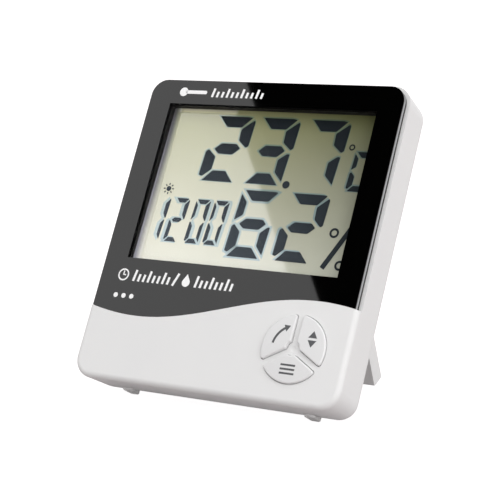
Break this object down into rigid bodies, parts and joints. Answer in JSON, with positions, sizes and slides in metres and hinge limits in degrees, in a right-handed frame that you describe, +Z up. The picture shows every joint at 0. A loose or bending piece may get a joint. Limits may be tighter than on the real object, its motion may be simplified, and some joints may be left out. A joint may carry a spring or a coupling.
{
  "type": "thermometer hygrometer clock",
  "caption": "Leaning desk clock with a segment display for temperature and humidity, glossy wavy window, three sector keys, and a fold-out stand.",
  "frame": {"origin": "on the table, under the middle of the bounding box in plan, with the clock open on its stand", "axes": "+Z up, the window faces -Y and leans back 30 degrees, +X to the right of someone who reads the display"},
  "size_m": [0.1002, 0.0695, 0.1035],
  "materials": {
    "white_abs": "moulded, fine satin grain",
    "key_abs": "moulded, polished",
    "clear_acrylic": "polished sheet",
    "black_print": "screen-printed ink",
    "foam_tape": "closed-cell foam",
    "black_abs": "moulded, satin",
    "display_film": "glossy film",
    "display_glass": "float glass",
    "reflector_foil": "frosted foil",
    "grey_rubber": "moulded",
    "green_laminate": "solder mask",
    "black_resin": "cured resin dome",
    "nickel_can": "plated can",
    "ceramic_parts": "fired ceramic",
    "cell_jacket": "printed sleeve",
    "plated_steel": "nickel plated",
    "sensor_shell": "moulded",
    "thermistor_glass": "epoxy bead",
    "brass_disc": "rolled sheet",
    "white_ceramic": "silvered ceramic",
    "zinc_steel": "zinc plated",
    "black_switch": "moulded",
    "switch_plunger": "moulded",
    "red_wire": "extruded jacket",
    "black_wire": "extruded jacket"
  },
  "bodies": {
    "case": {"adjust_switch": "black_switch", "battery_cell": "cell_jacket", "battery_spring": "plated_steel", "board_components": "ceramic_parts", "board_screws": "zinc_steel", "buzzer_ceramic": "white_ceramic", "buzzer_disc": "brass_disc", "buzzer_lead_inner": "red_wire", "buzzer_lead_outer": "black_wire", "case_screws": "zinc_steel", "chip_cap": "black_resin", "circuit_board": "green_laminate", "crystal": "nickel_can", "display_window": "clear_acrylic", "elastomer_strip": "grey_rubber", "front_case": "white_abs", "front_polariser": "display_film", "humidity_sensor": "sensor_shell", "lcd_frame": "black_abs", "lcd_front_glass": "display_glass", "lcd_rear_glass": "display_glass", "lcd_reflector": "reflector_foil", "memory_switch": "black_switch", "mode_switch": "black_switch", "negative_contact": "plated_steel", "negative_lead": "black_wire", "positive_contact": "plated_steel", "positive_lead": "red_wire", "rear_case": "white_abs", "reset_switch": "black_switch", "sensor_board": "green_laminate", "sensor_lead_inner": "red_wire", "sensor_lead_outer": "black_wire", "thermistor": "thermistor_glass", "unit_switch": "black_switch", "window_print": "black_print", "window_tape": "foam_tape"},
    "stand": {"stand": "white_abs"},
    "battery_door": {"battery_door": "white_abs"},
    "mode_key": {"mode_key": "key_abs", "mode_plunger": "switch_plunger"},
    "adjust_key": {"adjust_key": "key_abs", "adjust_plunger": "switch_plunger"},
    "memory_key": {"memory_key": "key_abs", "memory_plunger": "switch_plunger"},
    "unit_key": {"unit_key": "key_abs", "unit_plunger": "switch_plunger"},
    "reset_key": {"reset_key": "key_abs", "reset_plunger": "switch_plunger"}
  },
  "joints": [
    {"name": "stand_hinge", "type": "hinge", "parent": "case", "child": "stand", "pos_m": [0, 0.01008, 0.05324], "axis": [1, 0, 0], "range_deg": [-50, 0]},
    {"name": "mode_key_press", "type": "slide", "parent": "case", "child": "mode_key", "axis": [0, 0.8659, -0.5002], "range_m": [0, 0.0005], "stiffness_N_per_m": 2000, "springref_m": -0.0005},
    {"name": "adjust_key_press", "type": "slide", "parent": "case", "child": "adjust_key", "axis": [0, 0.8659, -0.5002], "range_m": [0, 0.0005], "stiffness_N_per_m": 2000, "springref_m": -0.0005},
    {"name": "memory_key_press", "type": "slide", "parent": "case", "child": "memory_key", "axis": [0, 0.8659, -0.5002], "range_m": [0, 0.0005], "stiffness_N_per_m": 2000, "springref_m": -0.0005},
    {"name": "unit_key_press", "type": "slide", "parent": "case", "child": "unit_key", "axis": [0, -0.8659, 0.5002], "range_m": [0, 0.0005], "stiffness_N_per_m": 2000, "springref_m": -0.0005},
    {"name": "reset_key_press", "type": "slide", "parent": "case", "child": "reset_key", "axis": [0, -0.8659, 0.5002], "range_m": [0, 0.0005], "stiffness_N_per_m": 2000, "springref_m": -0.0005},
    {"name": "battery_door_pull", "type": "slide", "parent": "case", "child": "battery_door", "axis": [0, 0.8659, -0.5002], "range_m": [0, 0.012]}
  ]
}
